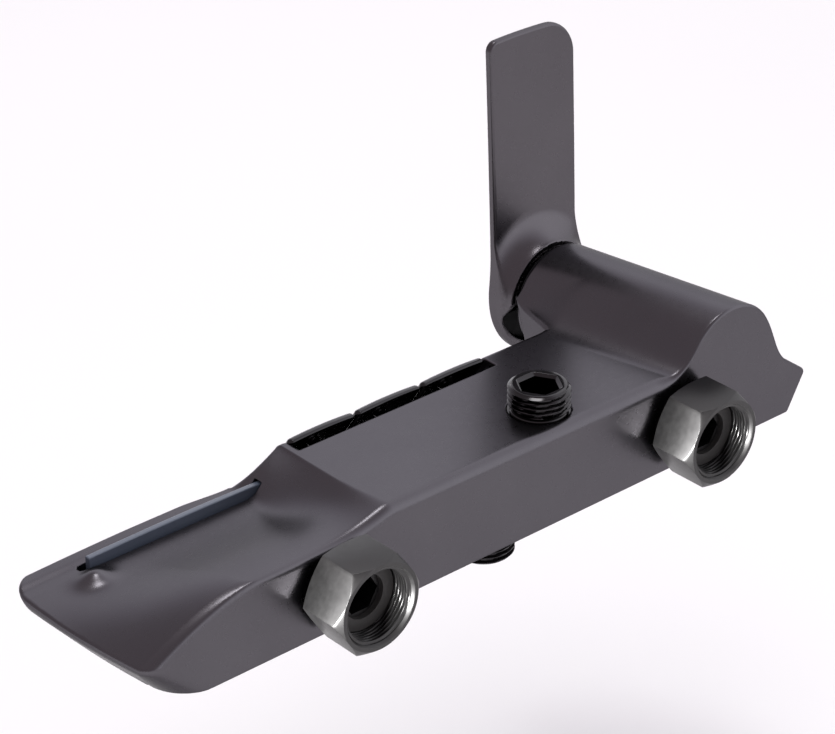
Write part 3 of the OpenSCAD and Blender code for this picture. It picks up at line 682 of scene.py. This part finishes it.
def metal(name, low, high, rough, edge):
    """A brushed or plated metal. edge scales its reflection at a grazing angle."""
    m, tree, shader = new_material(name)
    shader.inputs["Metallic"].default_value = 1.0
    shader.inputs["Specular Tint"].default_value = (edge, edge, edge, 1)
    cloud = noise(tree, 35.0, 4.0)
    colour = ramp(tree, cloud.outputs["Fac"], low, high)
    tree.links.new(colour.outputs["Color"], shader.inputs["Base Color"])
    fine = noise(tree, 500.0, 2.0)
    vary_roughness(tree, shader, fine, *rough)
    add_bump(tree, shader, fine, 0.0006)
    return m


def dull(name, low, high, rough, coat, specular):
    """Plastic, rubber or ceramic."""
    m, tree, shader = new_material(name)
    shader.inputs["Coat Weight"].default_value = coat
    shader.inputs["Specular IOR Level"].default_value = specular
    cloud = noise(tree, 60.0, 3.0)
    colour = ramp(tree, cloud.outputs["Fac"], low, high)
    tree.links.new(colour.outputs["Color"], shader.inputs["Base Color"])
    fine = noise(tree, 400.0, 3.0)
    vary_roughness(tree, shader, fine, *rough)
    add_bump(tree, shader, fine, 0.01)
    return m


METALS = {
    # slot: darker and lighter colour, roughness, grazing reflection
    "gunmetal_body": ((0.106, 0.101, 0.111), (0.114, 0.109, 0.119), (0.27, 0.30), 0.5),
    "gunmetal_lever": ((0.106, 0.099, 0.108), (0.114, 0.107, 0.116), (0.27, 0.30), 0.5),
    "gunmetal_fittings": ((0.054, 0.053, 0.053), (0.062, 0.061, 0.061), (0.40, 0.44), 1.0),
    "gunmetal_keys": ((0.040, 0.039, 0.041), (0.050, 0.049, 0.051), (0.12, 0.16), 1.0),
    "black_chrome": ((0.040, 0.039, 0.040), (0.048, 0.046, 0.048), (0.13, 0.16), 1.0),
    "bright_steel": ((0.60, 0.61, 0.62), (0.70, 0.71, 0.72), (0.18, 0.28), 1.0),
    "spring_steel": ((0.50, 0.51, 0.52), (0.60, 0.61, 0.62), (0.2, 0.3), 1.0),
    "plain_brass": ((0.58, 0.42, 0.18), (0.68, 0.50, 0.24), (0.2, 0.3), 1.0),
}
OTHERS = {
    # slot: darker and lighter colour, roughness, coat, specular level
    "slate_blade": ((0.075, 0.092, 0.125), (0.085, 0.103, 0.138), (0.28, 0.36), 0.2, 0.5),
    "black_plastic": ((0.006, 0.006, 0.007), (0.010, 0.010, 0.011), (0.45, 0.6), 0.0, 0.1),
    "black_gasket": ((0.030, 0.029, 0.028), (0.045, 0.043, 0.041), (0.5, 0.65), 0.0, 0.5),
    "rubber": ((0.010, 0.010, 0.010), (0.018, 0.018, 0.018), (0.6, 0.75), 0.0, 0.5),
    "white_plastic": ((0.70, 0.70, 0.68), (0.76, 0.76, 0.74), (0.4, 0.5), 0.0, 0.5),
    "red_plastic": ((0.42, 0.03, 0.02), (0.48, 0.04, 0.03), (0.4, 0.5), 0.0, 0.5),
    "ceramic": ((0.80, 0.78, 0.72), (0.86, 0.84, 0.78), (0.1, 0.16), 0.5, 0.5),
}
MATERIALS = {name: metal(name, *look) for name, look in METALS.items()}
MATERIALS.update({name: dull(name, *look) for name, look in OTHERS.items()})


def dress(obj, slot):
    """Gives a piece the finish of one of the record's material slots."""
    obj.data.materials.clear()
    obj.data.materials.append(MATERIALS[slot])


def piece(obj, body, slot, *nodes):
    """Finishes a new piece: its material, the body it rides on and the nodes it stands for."""
    dress(obj, slot)
    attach(obj, body)
    if nodes:
        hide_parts(*nodes)
    return obj


slots = {s["node"]: s["material_slot"] for s in frame["record"]["subparts"]}
for node_name, node in frame["nodes"].items():
    dress(node, slots[node_name])


# ---------------------------------------------------------------- pieces from fields

BODY_NET = 0.62          # the body's grid, in millimetres

body = field_object("body_shell", body_field, (-138, -75, -0.5), (154.5, 0.5, 51.5),
                    BODY_NET, 0.25, body_to_row)
piece(body, "body", "gunmetal_body", "body_casting")

lever = field_object("lever_shell", lever_field, (-21.5, -22.5, 2.5), (21.5, 97.5, 17.5),
                     0.5, 0.4, hub_to_row)
piece(lever, "lever", "gunmetal_lever", "lever_handle")

# Painted shade: a black half ring that darkens the bottom of the lever's hollow
shade_sheet = field_object("hub_shade_sheet", shade_sheet_field, (-20, -20, 9.5), (20, -5, 11.2),
                     0.4, 0.2, hub_to_row)
piece(shade_sheet, "lever", "black_plastic")

for name, step in (("left", 1), ("middle", 0), ("right", -1)):
    key_middle = np.array([POCKET_X + step * KEY_PITCH, 0, 0])
    key = field_object("key_cap_" + name, key_field, (-14.5, -68.5, 14), (14.5, -49.5, 36.2),
                       0.4, 0.4, lambda p: body_to_row(p + key_middle))
    piece(key, "key_" + name, "gunmetal_keys", "key_" + name)

blade = field_object("blade_insert", blade_field, (53.0, -58.6, 8.8), (129.2, -55, 22.4),
                     0.3, 0.3, body_to_row)
piece(blade, "body", "slate_blade", "spout_blade")


# ---------------------------------------------------------------- outlet nipples

SOCKET_AF = 12
NIPPLE_TOP = 16.3               # height of a nipple above its inner end
G_HALF = (10.45, 9.35, 1.814)   # crest radius, root radius and pitch


def nipple(name, x, side):
    turns = 120
    crest, root, pitch = G_HALF
    top = NIPPLE_TOP
    socket = hex_radius(around(turns), SOCKET_AF, 0.25)
    rows = [(5.0, 0.05), (5.0, 4.9), (socket, 5.0), (socket, top - 1.0)]
    rows += [(socket + 0.9, top - 0.05), (socket + 1.1, top)]
    rows += [(8.9, top), (9.15, top - 0.06), (9.3, top - 0.25)]
    rows += thread_rows(crest, root, 8.3, top - 0.4, pitch, turns, 0.3, 0.5)[::-1]
    rows += [(9.3, 8.2), (9.35, 7.2), (9.6, 6.9), (10.4, 6.8), (10.4, 0.05)]

    def place(p):
        z = (BODY_H - NIPPLE_IN + p[:, 2]) if side > 0 else (NIPPLE_IN - p[:, 2])
        return body_to_row(np.stack([p[:, 0] + x, p[:, 1] * side - NIPPLE_D, z], 1))

    obj = lathe("nipple_" + name, rows[::-1] if side > 0 else rows, turns, place)
    sharp_edges(obj, 35)
    piece(obj, "body", "black_chrome", "outlet_nipple_" + name)


for name, (x, side) in NIPPLES.items():
    nipple(name, x, side)


# ---------------------------------------------------------------- union nuts

NUT_AF = 30
NUT_ENDS = (2.5, 20.0)          # distance of its two ends from the back face
LIP_R = 9.1                     # radius of the hole that the tail passes through
SEAT_R = 12.5
G_THREE_QUARTER = (12.08, 12.95, 1.27)          # crest radius, root radius and pitch


def chamfer(flat, end, inner, reach, inward):
    """Rows from a flat end's edge to where its cone meets the hexagon."""
    corner = NUT_AF / math.sqrt(3)
    meet = end + inward * reach * np.clip((flat - inner) / (corner - inner), 0, 1)
    part_way = (inner * 0.4 + flat * 0.6, end * 0.4 + meet * 0.6 - inward * 0.06)
    edge = [(flat - 0.06, meet - inward * 0.03), (flat, meet + inward * 0.12)]
    return [(inner, end), part_way] + edge


def union_nut(name, x, turn):
    turns = 240
    crest, root, pitch = G_THREE_QUARTER
    flat = hex_radius(around(turns), NUT_AF, 0.5)
    z0, z1 = NUT_ENDS
    rows = [(LIP_R, z0), (LIP_R, 6.7), (SEAT_R, 6.8), (SEAT_R, 11.4)]
    rows += thread_rows(crest, root, 11.6, z1 - 1.1, pitch, turns, 0.2, 0.2)
    rows += [(12.9, z1 - 0.95), (13.35, z1 - 0.25), (13.6, z1)]
    rows += chamfer(flat, z1, 14.9, 2.4, -1) + chamfer(flat, z0, 14.6, 1.2, 1)[::-1]
    rows += [(9.6, z0)]
    c, s = math.cos(turn), math.sin(turn)

    def place(p):
        px = p[:, 0] * c - p[:, 1] * s
        pz = p[:, 0] * s + p[:, 1] * c
        return body_to_row(np.stack([px + x, p[:, 2], pz + INLET_H], 1))

    obj = lathe("nut_shell_" + name, rows, turns, place)
    sharp_edges(obj, 24)
    return piece(obj, "nut_" + name, "gunmetal_fittings", "union_nut_" + name)


nuts = [union_nut("left", INLET_X, math.radians(-2.3)),
        union_nut("right", -INLET_X, math.radians(-5.6))]


# ---------------------------------------------------------------- stage

FLOOR_Z = -0.16
FLOOR_HALF = 4.0


def floor_plane():
    n = 12
    axis = np.linspace(-FLOOR_HALF, FLOOR_HALF, n + 1)
    verts = np.array([(x, y, FLOOR_Z) for x in axis for y in axis])
    row = n + 1
    corners = [i * row + j for i in range(n) for j in range(n)]
    obj = mesh_object("floor", verts, [[a, a + row, a + row + 1, a + 1] for a in corners])
    m, tree, shader = new_material("pale_floor")
    cloud = noise(tree, 1.5, 2.0)
    colour = ramp(tree, cloud.outputs["Fac"], (0.90, 0.90, 0.90), (0.93, 0.93, 0.93))
    tree.links.new(colour.outputs["Color"], shader.inputs["Base Color"])
    shader.inputs["Roughness"].default_value = 0.9
    shader.inputs["Specular IOR Level"].default_value = 0.1
    obj.data.materials.append(m)


def softbox(name, place, width, height, power, reflected=True):
    """A rectangular light that faces the origin."""
    data = bpy.data.lights.new(name, "AREA")
    data.shape = "RECTANGLE"
    data.size = width
    data.size_y = height
    data.energy = power
    obj = bpy.data.objects.new(name, data)
    obj.location = place
    obj.rotation_euler = (-Vector(place)).to_track_quat("-Z", "Y").to_euler()
    obj.visible_glossy = reflected
    bpy.context.scene.collection.objects.link(obj)
    return obj


def light_only(light, pieces):
    lit = bpy.data.collections.new("lit_by_" + light.name)
    bpy.context.scene.collection.children.link(lit)
    for obj in pieces:
        lit.objects.link(obj)
    light.light_linking.receiver_collection = lit


def studio_world():
    """A sky that darkens along a tilted axis, which gives the metal its soft gradients."""
    world = bpy.data.worlds.new("studio")
    bpy.context.scene.world = world
    world.use_nodes = True
    sky = world.node_tree
    coords = sky.nodes.new("ShaderNodeTexCoord")
    turned = sky.nodes.new("ShaderNodeMapping")
    turned.inputs["Rotation"].default_value = (0, math.radians(37), 0)
    sky.links.new(coords.outputs["Generated"], turned.inputs["Vector"])
    split = sky.nodes.new("ShaderNodeSeparateXYZ")
    sky.links.new(turned.outputs["Vector"], split.inputs["Vector"])
    reach = sky.nodes.new("ShaderNodeMapRange")
    reach.inputs["From Min"].default_value = -1.0
    reach.inputs["From Max"].default_value = 1.0
    sky.links.new(split.outputs["X"], reach.inputs["Value"])
    tone = ramp(sky, reach.outputs["Result"], (0.95, 0.94, 0.98), (0.30, 0.26, 0.28), 0.0, 0.86)
    stops = {0.44: (0.96, 0.95, 1.0), 0.60: (0.52, 0.49, 0.54), 0.70: (0.31, 0.28, 0.30)}
    for at, colour in stops.items():
        stop = tone.color_ramp.elements.new(at)
        stop.color = (*colour, 1)
    sky.links.new(tone.outputs["Color"], sky.nodes["Background"].inputs["Color"])
    sky.nodes["Background"].inputs["Strength"].default_value = 1.5


def add_camera():
    camera_data = bpy.data.cameras.new("camera")
    camera_data.sensor_width = 36.0
    camera_data.lens = 127.73
    camera_data.clip_start = 0.01
    camera_data.clip_end = 50.0
    camera = bpy.data.objects.new("camera", camera_data)
    bpy.context.scene.collection.objects.link(camera)
    camera.location = (0.56177, 0.56873, 0.49270)
    target = Vector((0.089242, 0.032613, 0.101261))
    camera.rotation_euler = (target - camera.location).to_track_quat("-Z", "Y").to_euler()
    bpy.context.scene.camera = camera


floor_plane()
softbox("box_over", (-0.2, -0.36, 1.96), 0.5, 0.5, 7)
softbox("box_fill", (0.1, 0.2, 2.2), 2.4, 2.4, 21, reflected=False)
light_only(softbox("box_nuts", (1.7, 0.35, -0.1), 0.6, 0.1, 420), nuts)
studio_world()
add_camera()
bpy.context.scene.view_settings.view_transform = "Standard"
